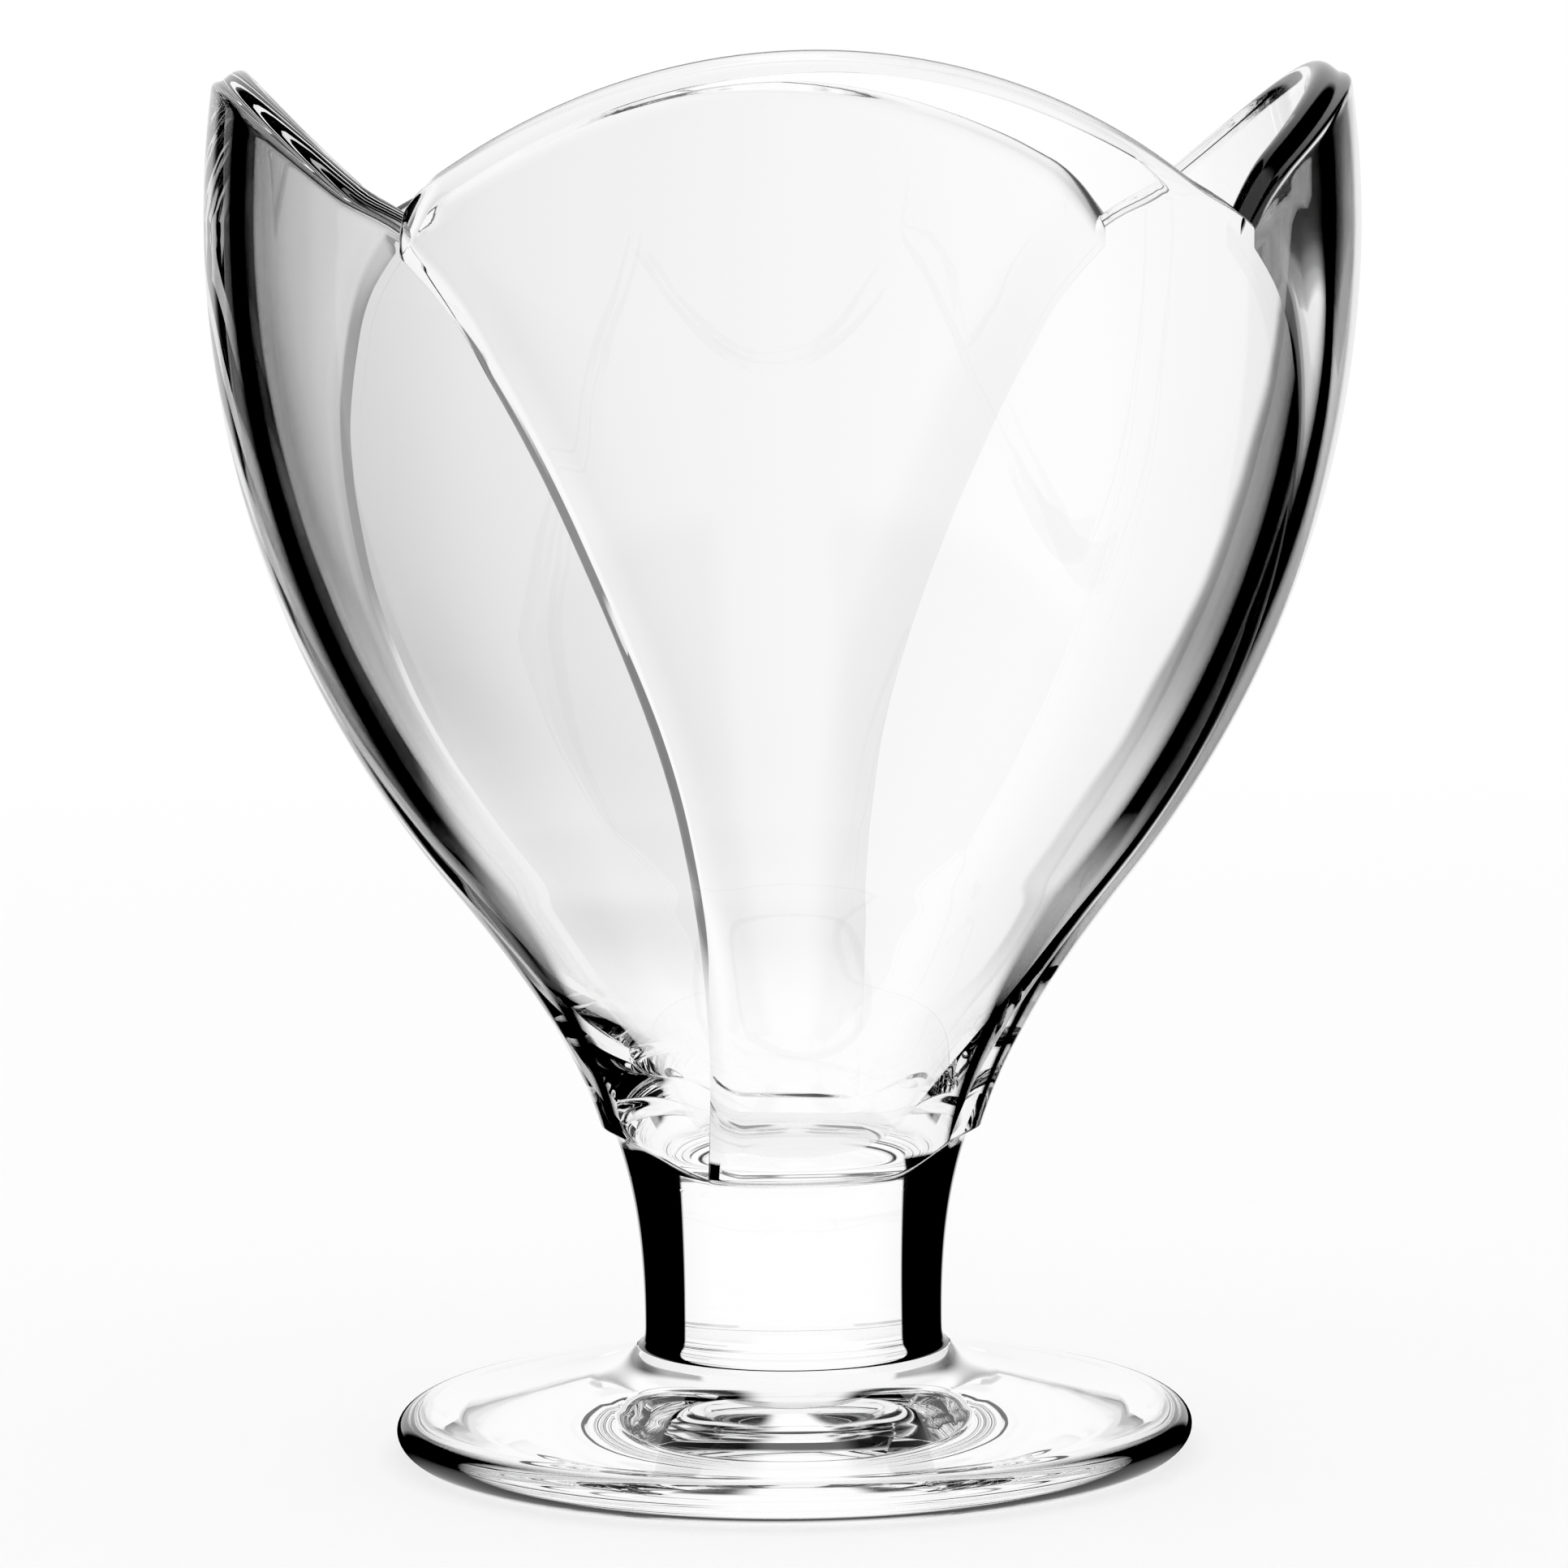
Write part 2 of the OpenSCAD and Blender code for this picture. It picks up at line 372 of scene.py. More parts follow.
def edge_rise(share, soft):
    """How far a left edge has risen at a share of its band: a face and a shoulder, or one soft round."""
    if soft:
        return 1 - (1 - np.clip(share, None, 1)) ** SOFT_EDGE_POWER
    face = FACE_RISE * share / FACE
    shoulder = 1 - (1 - FACE_RISE) * (1 - np.clip((share - FACE) / (1 - FACE), 0, 1)) ** 2
    blend = ramp(share, (FACE - FACE_BLEND / 2, FACE_BLEND))
    return face * (1 - blend) + shoulder * blend


class Petal:
    """Points over one petal, in rows from its left edge to its right end.

    They go up outside, over the rim and down inside to the bowl's floor. One row before the first and one
    column at either side only give directions."""

    def __init__(self, form, turn):
        s = form.s
        self.form, self.turn = form, turn
        # The right and the back petal
        self.soft = 0.5 * QUARTER < turn < 2.5 * QUARTER
        self.band, self.rib = (s.soft_band, 0.0) if self.soft else (s.edge_band, s.edge_rib)
        self.side_rows = SIDE_ROWS
        self.rows = LOW_ROWS + LEDGE_ROWS + self.side_rows
        wide = s.columns - EDGE_COLUMNS
        step = np.linspace(0, 1, EDGE_COLUMNS + 1) ** EDGE_CROWDING
        # Where each column lies across the edge's band, and across the rest of the petal
        self.edge = np.concatenate([[-step[1]], step, np.ones(wide + 1)])
        self.rest = np.concatenate([np.zeros(EDGE_COLUMNS + 2), np.arange(1, wide + 2) / wide])

    def columns(self, z):
        """Share of the petal's quarter turn for each column, in a row at height z."""
        band = np.asarray(self.band / (self.form.side_r(z) * QUARTER))[..., None]
        return np.where(self.rest > 0, band + (1 - band) * self.rest, band * self.edge)

    def rim_line(self):
        """Height of the rim at each column, and how much longer its section is where the rim leans."""
        form = self.form

        def across(z, a):
            return form.outer_r(z, a) * np.sin(a)

        share = self.columns(form.notch_z - RIM_DROP)
        left = form.edge_angle(form.notch_z - RIM_DROP)
        a = left + QUARTER * share
        x = across(form.notch_z, a)
        for _ in range(2):
            x = across(form.rim_arc(x), a)
        z = form.rim_arc(x)
        # Both ends come to the notch's height
        start = form.rim_arc(across(form.notch_z, left)) - form.notch_z
        end = form.rim_arc(across(form.notch_z, left + QUARTER)) - form.notch_z
        z = z - start * (1 - np.clip(self.edge, None, 1)) ** 2
        z = z - end * ramp(share, RIM_END) * (self.edge >= 1)
        slope = x / np.sqrt(form.s.petal_arc_r**2 - x**2) * np.cos(a)
        lean = 1 + (np.sqrt(1 + slope**2) - 1) * ramp(np.minimum(share, 1 - share), RIM_LEAN)
        return z, lean

    def outer_r(self, z, a):
        """Radius of the outer side, with its raised left edge and its ledge."""
        form = self.form
        rest = form.side_r(z) - INSET
        start = form.outer_r(z, form.edge_angle(np.clip(z, form.s.stem_top_z, None)) + QUARTER)
        from_edge = np.clip(a - form.edge_angle(z), 0, None) * form.side_r(z)
        rib = self.rib * (1 + RIB_GROWTH * ramp(z, RIB_GROWS))
        full = form.outer_r(z, a) + rib * np.exp(-from_edge / RIB_FALL)
        hard = ramp(z, EDGE_HARDENS)
        rise = edge_rise(self.edge, self.soft) * hard + edge_rise(self.edge, True) * (1 - hard)
        above = z - form.ledge_z(a + self.turn)
        bump = LEDGE_BUMP * np.exp(-np.clip(above, 0, None) / BUMP_FALL) * (1 - ramp(above, BUMP_ENDS))
        return rest + (start + (full - start) * rise - rest + bump) * ramp(above, LEDGE_STEP)

    def heights(self, ledge, top):
        """Rows from the stem's top over the ledge up to the rim's foot."""
        foot = self.form.s.stem_top_z
        shelf = ledge + LEDGE_ROWS_H
        low, mid, high = (
            np.linspace(0, 1, count + 1)[:, None] for count in (LOW_ROWS, LEDGE_ROWS, self.side_rows)
        )
        return np.concatenate(
            [foot + (ledge - foot) * low, ledge + LEDGE_ROWS_H * mid[1:], shelf + (top - shelf) * high[1:]]
        )

    def outer_side(self, top):
        """Radii, angles and heights of the outer side, up to the heights top."""
        form = self.form
        seam_z = self.heights(np.array([SEAM_LEDGE_Z]), top[1:2])[:, 0]
        a = form.edge_angle(seam_z)[:, None] + QUARTER * self.columns(seam_z)
        # Rows up to the ledge follow it by their own angles, and the others by those at the petal's foot
        z = self.heights(form.ledge_z(a[0] + self.turn), top)
        by_ledge = slice(LOW_ROWS + LEDGE_ROWS + 1)
        z[by_ledge] = self.heights(form.ledge_z(a[LOW_ROWS] + self.turn), top)[by_ledge]
        z = np.concatenate([z[:1] - ROW_BELOW, z])
        a = np.concatenate([a[:1], a])
        return self.outer_r(z, a), a, z

    def rim(self, line, lean, a):
        """The same of the rim, from the outer side over to the inner side."""
        section, t = np.array(RIM), np.arange(len(RIM))
        fine = np.linspace(0, len(RIM) - 1, 2 * (len(RIM) - 1) + 1)[1:-1]
        across = catmull(section[:, 0], t, fine) / section[-1, 0]
        down = catmull(section[:, 1], t, fine) * MM
        z = line + down[:, None] * lean
        a = np.broadcast_to(a, z.shape)
        outer = self.outer_r(z, a)
        return outer + (self.form.inner_r(z) - outer) * across[:, None], a, z

    def inner_side(self, top, rim_a):
        """The same of the inner side, from the rim down to the floor and on to the stem's top."""
        form, s = self.form, self.form.s
        basin_rows = self.rows // 3
        z_high = top + (BASIN_TOP_Z - top) * np.linspace(0, 1, self.rows - basin_rows)[:, None]
        t = np.linspace(0, 1, CURVE_STEPS)
        start = np.interp(BASIN_TOP_Z, curve(form.basin, t)[:, 1], t)
        path = curve(form.basin, np.linspace(start, 0, PATH_STEPS))
        gone = np.concatenate([[0], np.cumsum(np.linalg.norm(np.diff(path, axis=0), axis=1))])
        want = np.linspace(0, gone[-1], basin_rows + 1)[1:]
        z_low = np.interp(want, gone, path[:, 1])
        r_low = np.interp(want, gone, path[:, 0]) + form.thinned(z_low)
        wide = np.ones(len(self.rest))
        z = np.concatenate([z_high, z_low[:, None] * wide, s.stem_top_z * wide[None]])
        r = np.concatenate([form.inner_r(z_high), r_low[:, None] * wide, s.floor_r * wide[None]])
        a = form.edge_angle(z[:, 1])[:, None] + QUARTER * self.columns(z[:, 1])
        a[0] = rim_a
        return r, a, z

    def placed(self, r, a, z):
        """The points of such radii, angles and heights."""
        a = a + self.turn
        return np.stack([r * np.sin(a), -r * np.cos(a), z], axis=-1)

    def grid(self):
        """The petal's points as a grid, and their normals."""
        line, lean = self.rim_line()
        top = line - RIM_DROP * lean
        outer = self.outer_side(top)
        rim_a = outer[1][-1]
        parts = (outer, self.rim(line, lean, rim_a), self.inner_side(top, rim_a))
        every = np.concatenate([self.placed(*part) for part in parts])
        normals = unit(np.cross(along(every, 1)[1:-1], along(every, 0)[:, 1:-1]))
        # The inner side ends level, on the bowl's floor
        normals = np.concatenate([normals, normals[-1:]])
        normals[-2:] = (0.0, 0.0, 1.0)
        return every[1:, 1:-1], normals


def petal_mesh(name, form, turn, materials):
    """One petal as a closed piece, with the faces that are fused to its neighbours."""
    petal = Petal(form, turn)
    points, normals = petal.grid()
    loop, cols = points.shape[:2]
    middle = (petal.rows // 2, cols // 2)
    if np.dot(normals[middle][:2], points[middle][:2]) < 0:
        raise RuntimeError(f"{name} has its normals turned inside")
    index = np.arange(loop * cols).reshape(loop, cols).tolist()
    faces, seams = [], []
    for j in range(loop):
        row, above = index[j], index[(j + 1) % loop]
        for i in range(cols - 1):
            faces.append((row[i], row[i + 1], above[i + 1], above[i]))
            # The last rows lie against the bowl's floor and the stem
            seams.append(j >= loop - 2)
    # Each end is closed straight across, from the outer side to the inner side
    for side in (0, cols - 1):
        for j in range(loop // 2):
            far = loop - 2 - j
            if j + 1 > far:
                break
            face = (index[j][side], index[j + 1][side], index[far][side], index[far + 1][side])
            if j + 1 == far:
                face = (face[0], face[1], face[3])
            faces.append(face if side == 0 else face[::-1])
            seams.append(True)
    flat = points.reshape(-1, 3)
    if volume(flat, faces) < 0:
        faces = [face[::-1] for face in faces]
    return glass_mesh(name, flat, faces, seams, normals.reshape(-1, 3), materials)


# -------- shader maths


class Sum:
    """A number in a node tree, with the usual operators."""

    def __init__(self, tree, socket):
        self.tree, self.socket = tree, socket

    def _do(self, operation, *values):
        return Sum(self.tree, self.tree.add("ShaderNodeMath", {"operation": operation}, *values).outputs[0])

    def __add__(self, other):
        return self._do("ADD", self, other)

    __radd__ = __add__

    def __sub__(self, other):
        return self._do("SUBTRACT", self, other)

    def __rsub__(self, other):
        return self._do("SUBTRACT", other, self)

    def __mul__(self, other):
        return self._do("MULTIPLY", self, other)

    __rmul__ = __mul__

    def __truediv__(self, other):
        return self._do("DIVIDE", self, other)

    def __rtruediv__(self, other):
        return self._do("DIVIDE", other, self)

    def __abs__(self):
        return self._do("ABSOLUTE", self)

    def above(self, other):
        """1 where this is more than the other, and 0 elsewhere."""
        return self._do("GREATER_THAN", self, other)

    def least(self, other):
        """This, but never less than the other."""
        return self._do("MAXIMUM", self, other)

    def most(self, other):
        """This, but never more than the other."""
        return self._do("MINIMUM", self, other)

    def root(self):
        return self._do("SQRT", self)

    def rounded(self):
        return self._do("ROUND", self)

    def sine(self):
        return self._do("SINE", self)

    def cosine(self):
        return self._do("COSINE", self)

    def angle(self, other):
        """Angle whose tangent is this over the other."""
        return self._do("ARCTAN2", self, other)

    def wrapped(self, low, high):
        """Brought into the span from low to high by whole spans."""
        return self._do("WRAP", self, high, low)

    def rise(self, low, high):
        """0 below low, 1 above high, and a soft rise between."""
        settings = {"interpolation_type": "SMOOTHSTEP"}
        node = self.tree.add("ShaderNodeMapRange", settings, self, low, high, 0.0, 1.0)
        return Sum(self.tree, node.outputs[0])


class Tree:
    """Adds nodes to a node tree."""

    def __init__(self, nodes):
        self.nodes = nodes
        self.nodes.nodes.clear()

    def put(self, socket, value):
        """Links a socket to a value's own socket, or gives it the value."""
        if isinstance(value, Sum):
            value = value.socket
        if isinstance(value, bpy.types.NodeSocket):
            self.nodes.links.new(value, socket)
        elif value is not None:
            socket.default_value = value

    def add(self, kind, settings=None, *values, **named):
        """A node of that kind, with its settings and then the values or links of its sockets."""
        node = self.nodes.nodes.new(kind)
        for key, value in (settings or {}).items():
            setattr(node, key, value)
        for socket, value in zip(node.inputs, values):
            self.put(socket, value)
        for key, value in named.items():
            self.put(node.inputs[key.replace("_", " ")], value)
        return node

    def sum(self, socket):
        return Sum(self, socket)

    def parts(self, vector):
        """The three numbers of a vector."""
        return [Sum(self, each) for each in self.add("ShaderNodeSeparateXYZ", None, vector).outputs]

    def mix(self, factor, a, b):
        """Colour a where the factor is 0 and b where it is 1."""
        node = self.add("ShaderNodeMix", {"data_type": "RGBA"})
        # A Mix node's sockets for colours come after its others
        for i, value in ((0, factor), (6, a), (7, b)):
            self.put(node.inputs[i], value)
        return node.outputs[2]


def grey(v):
    """A grey with full alpha."""
    return (v, v, v, 1.0)


# -------- materials

# Layer Weight's Facing grows as a surface turns away, and from the first value to the second the glass's base
# colour goes towards black: a painted shade that stands in for the dark surroundings seen through the glass at
# its edges
BOWL_PAINTED_SHADE, STEM_PAINTED_SHADE, FOOT_PAINTED_SHADE = (0.57, 0.63), (0.32, 0.335), (0.33, 0.45)
# Turned away further still, the bowl keeps only this share of its painted shade
BOWL_PALE, BOWL_PALE_LEFT = (0.70, 0.76), 0.45
# Below these heights the bowl gets the same painted shade as the stem, where the stem is
STEM_LIKE = (28.2 * MM, 28.6 * MM)
# Where the bowl's side looks up or down, by the share of its direction, it loses this share of its painted
# shade
BOWL_UP, BOWL_UP_LOSS = (0.55, 0.75), 0.8
# Heights between which the foot's rim gets its painted shade: from the table, and below the shoulder
FOOT_SHADE_LOW, FOOT_SHADE_GAP, FOOT_SHADE_FADE = 0.4 * MM, 0.1 * MM, 0.5 * MM
# How closely the waves of the glass follow each other
BOWL_WAVES, STEM_WAVES, FOOT_WAVES = 60.0, 45.0, 70.0


def material(name):
    """A new material, and its empty tree."""
    made = bpy.data.materials.new(name)
    made.use_nodes = True
    return made, Tree(made.node_tree)


def bowl_painted_shade(tree, facing, spot):
    """Painted shade on the bowl's outer side: a dark band along its outline, and low down the same as on the
    stem.
    """
    way = tree.parts(tree.add("ShaderNodeTexCoord").outputs["Normal"])
    outside = (way[0] * spot[0] + way[1] * spot[1]).above(0.0)
    band = facing.rise(*BOWL_PAINTED_SHADE) * (1 - facing.rise(*BOWL_PALE) * (1 - BOWL_PALE_LEFT)) * outside
    low = facing.rise(*STEM_PAINTED_SHADE) * (1 - spot[2].rise(*STEM_LIKE))
    return band.least(low) * (1 - abs(way[2]).rise(*BOWL_UP) * BOWL_UP_LOSS)


def stem_painted_shade(tree, facing, spot):
    """Painted shade on the stem: dark along both sides."""
    return facing.rise(*STEM_PAINTED_SHADE)


def foot_painted_shade(sizes):
    """Painted shade on the foot: only round its rim."""
    low, high = FOOT_SHADE_LOW, sizes.shoulder_z - FOOT_SHADE_GAP

    def dark(tree, facing, spot):
        rim = (spot[0] * spot[0] + spot[1] * spot[1]).root().above(sizes.shoulder_r)
        upper = 1 - spot[2].rise(high - FOOT_SHADE_FADE, high)
        return facing.rise(*FOOT_PAINTED_SHADE) * rim * spot[2].rise(low, low + FOOT_SHADE_FADE) * upper

    return dark


def glass_material(name, looks, wave_scale, painted_shade):
    """Clear pressed glass with fine waves, whose turned-away sides get a painted shade in the base colour,
    standing in for the dark surroundings seen through the glass.
    """
    made, tree = material(name)
    place = tree.add("ShaderNodeTexCoord").outputs["Object"]
    waves = tree.add("ShaderNodeTexNoise", None, Vector=place, Scale=wave_scale, Detail=1.5, Roughness=0.4)
    bump = tree.add("ShaderNodeBump", None, Strength=1.0, Distance=looks.wave_depth, Height=waves.outputs[0])
    facing = tree.sum(tree.add("ShaderNodeLayerWeight", None, 0.5).outputs["Facing"])
    # dark is the share of painted shade, which turns the base colour towards black
    dark = painted_shade(tree, facing, tree.parts(place))
    shader = tree.add(
        "ShaderNodeBsdfPrincipled",
        None,
        Base_Color=tree.mix(dark, (*looks.tint, 1.0), grey(0.0)),
        Roughness=0.0,
        IOR=looks.ior,
        Transmission_Weight=1.0,
        Normal=bump.outputs[0],
    )
    tree.add("ShaderNodeOutputMaterial", None, shader.outputs[0])


def seam_material():
    """The place where two pieces of glass are fused: nothing shows."""
    _, tree = material("fused_seam")
    tree.add("ShaderNodeOutputMaterial", None, tree.add("ShaderNodeBsdfTransparent").outputs[0])


def glasses(context):
    """The materials of the glass by name, made once, and the fused seam."""
    have = bpy.data.materials
    if "fused_seam" not in have:
        looks, sizes = context.scene.dish_looks, context.scene.dish_sizes
        seam_material()
        glass_material("pressed_bowl", looks, BOWL_WAVES, bowl_painted_shade)
        glass_material("pressed_stem", looks, STEM_WAVES, stem_painted_shade)
        glass_material("pressed_foot", looks, FOOT_WAVES, foot_painted_shade(sizes))
    return {
        "bowl_glass": have["pressed_bowl"],
        "stem_glass": have["pressed_stem"],
        "foot_glass": have["pressed_foot"],
        "fused_seam": have["fused_seam"],
    }


# -------- turned pieces

# Points nearer than this are one point
SAME_POINT = 1e-7
# Cosine of the bend past which an outline has a sharp corner
SHARP = 0.9


def turned_tree():
    """Geometry nodes that turn an outline once round the axis, and close it."""
    tree = bpy.data.node_groups.new("turned_glass", "GeometryNodeTree")
    for way, name, kind in (
        ("OUTPUT", "Geometry", "Geometry"),
        ("INPUT", "Outline", "Geometry"),
        ("INPUT", "Outline points", "Int"),
        ("INPUT", "Faces round", "Int"),
        ("INPUT", "Fused below", "Float"),
        ("INPUT", "Fused above", "Float"),
        ("INPUT", "Glass", "Material"),
        ("INPUT", "Seam", "Material"),
    ):
        tree.interface.new_socket(name, in_out=way, socket_type="NodeSocket" + kind)
    put = Tree(tree)
    given = put.add("NodeGroupInput").outputs
    count, turns = put.sum(given["Outline points"]), put.sum(given["Faces round"])
    # A column for each point of the outline, and a row for each step round the axis
    grid = put.add("GeometryNodeMeshGrid", None, count - 1.0, turns, count, turns + 1.0)
    position = put.add("GeometryNodeInputPosition").outputs[0]
    on_grid = put.parts(position)
    column = (on_grid[0] + (count - 1.0) / 2.0).rounded()
    angle = (on_grid[1] + turns / 2.0) / turns * (2 * math.pi)
    at = put.add("GeometryNodeSampleIndex", {"data_type": "FLOAT_VECTOR", "domain": "POINT"})
    put.put(at.inputs["Geometry"], given["Outline"])
    put.put(at.inputs["Value"], position)
    put.put(at.inputs["Index"], column)
    radius, _, height = put.parts(at.outputs[0])
    place = put.add("ShaderNodeCombineXYZ", None, radius * angle.sine(), radius * angle.cosine() * -1.0, height)
    moved = put.add("GeometryNodeSetPosition", None, Geometry=grid.outputs[0], Position=place.outputs[0])
    closed = put.add("GeometryNodeMergeByDistance", None, Geometry=moved.outputs[0], Distance=SAME_POINT)
    here = on_grid[2]
    fused = (1.0 - here.above(given["Fused below"]) + here.above(given["Fused above"])).above(0.5)
    shaded = put.add("GeometryNodeSetShadeSmooth", None, Geometry=closed.outputs[0])
    solid = put.add("GeometryNodeRealizeInstances", None, shaded.outputs[0])
    glass = put.add("GeometryNodeSetMaterial", None, Geometry=solid.outputs[0], Material=given["Glass"])
    seam = put.add(
        "GeometryNodeSetMaterial", None, Geometry=glass.outputs[0], Selection=fused, Material=given["Seam"]
    )
    put.add("NodeGroupOutput", None, seam.outputs[0])
    return tree


def turned_piece(context, name, outline, glass, below=-1.0, above=1.0):
    """A closed piece turned from an outline of (radius, height) pairs that starts and ends on the axis.

    Its faces below one height and above another are fused to its neighbours."""
    sizes = context.scene.dish_sizes
    have = glasses(context)
    line = bpy.data.meshes.new(name + "_outline")
    line.from_pydata([(r, 0.0, z) for r, z in outline], [(i, i + 1) for i in range(len(outline) - 1)], [])
    holder = bpy.data.objects.new(name + "_holder", line)
    context.scene.collection.objects.link(holder)
    tree = bpy.data.node_groups.get("turned_glass") or turned_tree()
    turning = holder.modifiers.new("turned_glass", "NODES")
    turning.node_group = tree
    values = {
        "Outline points": len(outline),
        "Faces round": sizes.turns,
        "Fused below": below,
        "Fused above": above,
        "Glass": have[glass],
        "Seam": have["fused_seam"],
    }
    for item in tree.interface.items_tree:
        if item.in_out == "INPUT" and item.name in values:
            turning[item.identifier] = values[item.name]
    context.view_layer.update()
    shape = bpy.data.meshes.new_from_object(holder.evaluated_get(context.evaluated_depsgraph_get()))
    bpy.data.objects.remove(holder)
    shape.name = name
    sort_materials(shape, [have[glass], have["fused_seam"]])
    outline_normals(shape, outline)
    return add_piece(context, name, shape)


def sort_materials(mesh, wanted):
    """Leaves only the wanted materials in a mesh's slots, in that order."""
    names = [m.original.name if m else "" for m in mesh.materials]
    order = {m.name: k for k, m in enumerate(wanted)}
    index = [order.get(names[p.material_index], 0) for p in mesh.polygons]
    mesh.materials.clear()
    for each in wanted:
        mesh.materials.append(each)
    mesh.polygons.foreach_set("material_index", index)


def outline_normals(mesh, outline):
    """Gives a turned mesh the exact normals of its outline, and turns its faces outwards."""
    line = np.array(outline)
    points = np.array([v.co[:] for v in mesh.vertices])
    if volume(points, [tuple(p.vertices) for p in mesh.polygons]) < 0:
        mesh.flip_normals()
    mesh.update()
    step = np.diff(line, axis=0)
    lengths = np.linalg.norm(step, axis=1, keepdims=True)
    step = step / lengths
    come, go = np.concatenate([step[:1], step]), np.concatenate([step, step[-1:]])
    bend = np.einsum("ij,ij->i", come, go)
    # The shorter of the two sides at a point says more about its direction
    none = np.zeros((1, 1))
    tangent = unit(come * np.concatenate([lengths, none]) + go * np.concatenate([none, lengths]))
    r = np.linalg.norm(points[:, :2], axis=1)
    near = np.argmin((r[:, None] - line[:, 0]) ** 2 + (points[:, 2:] - line[:, 1]) ** 2, axis=1)
    corner = []
    for face in mesh.polygons:
        here = face.normal
        flat = math.hypot(here.x, here.y)
        for v in face.vertices:
            across, up = tangent[near[v]]
            out, high = (up, -across) if up * flat - across * here.z >= 0 else (-up, across)
            if bend[near[v]] < SHARP:
                corner.append(here[:])
            elif r[v] < SAME_POINT:
                corner.append((0.0, 0.0, 1.0 if here.z > 0 else -1.0))
            else:
                corner.append((out * points[v, 0] / r[v], out * points[v, 1] / r[v], high))
    mesh.normals_split_custom_set(corner)


def add_piece(context, name, mesh):
    """Adds a finished mesh as the piece that stands for a CAD node."""
    if name + "_piece" in bpy.data.objects:
        raise RuntimeError(f"{name} is there already")
    piece = bpy.data.objects.new(name + "_piece", mesh)
    context.scene.collection.objects.link(piece)
    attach(piece, BODY)
    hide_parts(name)
    return piece


# -------- operators

# Points along the parts of an outline
HOLLOW_POINTS, REST_POINTS, ROUND_POINTS, DOME_POINTS = 30, 8, 16, 48
FILLET_POINTS, STEM_POINTS, FLOOR_POINTS = 14, 48, 12
# Width over which the underside comes down to the table at its resting ring
REST_BLEND = 3 * MM


class DISH_OT_foot(bpy.types.Operator):
    """Make the round foot, with its rounded edge and the hollow underneath"""

    bl_idname = "dish.foot"
    bl_label = "Foot"

    def execute(self, context):
        s = context.scene.dish_sizes
        share = np.linspace(0, 1, HOLLOW_POINTS)
        rest = s.rest_r - REST_BLEND
        outline = [(s.hollow_r * t, s.rest_gap + s.hollow_depth * (1 - t * t)) for t in share]
        outline += [(s.hollow_r + (rest - s.hollow_r) * t, s.rest_gap) for t in share[1:]]
        outline += [
            (rest + REST_BLEND * t, s.rest_gap * (1 - t) ** 2) for t in np.linspace(0, 1, REST_POINTS)[1:-1]
        ]
        turn = np.linspace(0, QUARTER, ROUND_POINTS)
        low, high = s.foot_r - s.rest_r, s.foot_r - s.shoulder_r
        outline += [(s.rest_r + low * math.sin(a), s.foot_edge_z * (1 - math.cos(a))) for a in turn]
        up = s.shoulder_z - s.foot_edge_z
        outline += [(s.shoulder_r + high * math.cos(a), s.foot_edge_z + up * math.sin(a)) for a in turn[1:]]
        shoulder, neck = np.array([s.shoulder_r, s.shoulder_z]), np.array([s.neck_r, s.neck_z])
        span = neck - shoulder
        pulls = (shoulder, shoulder + span * FOOT_SHOULDER_PULLS, neck - span * FOOT_NECK_PULLS, neck)
        outline += [tuple(p) for p in curve(pulls, np.linspace(0, 1, DOME_POINTS)[1:])]
        outline += [(0.0, s.neck_z)]
        turned_piece(context, "foot", outline, "foot_glass", above=s.neck_z - NEAR)
        return {"FINISHED"}


class DISH_OT_stem(bpy.types.Operator):
    """Make the solid stem, with the small fillet at its base"""

    bl_idname = "dish.stem"
    bl_label = "Stem"

    def execute(self, context):
        s = context.scene.dish_sizes
        run, rise = s.neck_r - s.waist_r, s.waist_z - s.neck_z
        turn = np.linspace(0, QUARTER, FILLET_POINTS)
        outline = [(0.0, s.neck_z)]
        outline += [(s.neck_r - run * math.sin(a), s.waist_z - rise * math.cos(a)) for a in turn]
        heights = np.linspace(s.waist_z, s.stem_top_z, STEM_POINTS)[1:]
        outline += list(zip((Form(s).side_r(heights) - INSET).tolist(), heights.tolist()))
        outline += [(0.0, s.stem_top_z)]
        below, above = s.neck_z + NEAR, s.stem_top_z - NEAR
        turned_piece(context, "stem", outline, "stem_glass", below=below, above=above)
        return {"FINISHED"}


class DISH_OT_bowl_floor(bpy.types.Operator):
    """Make the disc of glass that closes the bowl above the stem"""

    bl_idname = "dish.bowl_floor"
    bl_label = "Bowl floor"

    def execute(self, context):
        s = context.scene.dish_sizes
        outline = [(0.0, s.stem_top_z), (s.floor_r, s.stem_top_z)]
        outline += [(s.floor_r * (1 - t), s.floor_z) for t in np.linspace(0, 1, FLOOR_POINTS)]
        turned_piece(context, "bowl_floor", outline, "bowl_glass", below=s.floor_z - NEAR)
        return {"FINISHED"}


class DISH_OT_petals(bpy.types.Operator):
    """Make the four petals of the bowl"""

    bl_idname = "dish.petals"
    bl_label = "Petals"

    def execute(self, context):
        form = Form(context.scene.dish_sizes)
        have = glasses(context)
        for k, name in enumerate(PETALS):
            mesh = petal_mesh(name, form, k * QUARTER, (have["bowl_glass"], have["fused_seam"]))
            add_piece(context, name, mesh)
        return {"FINISHED"}


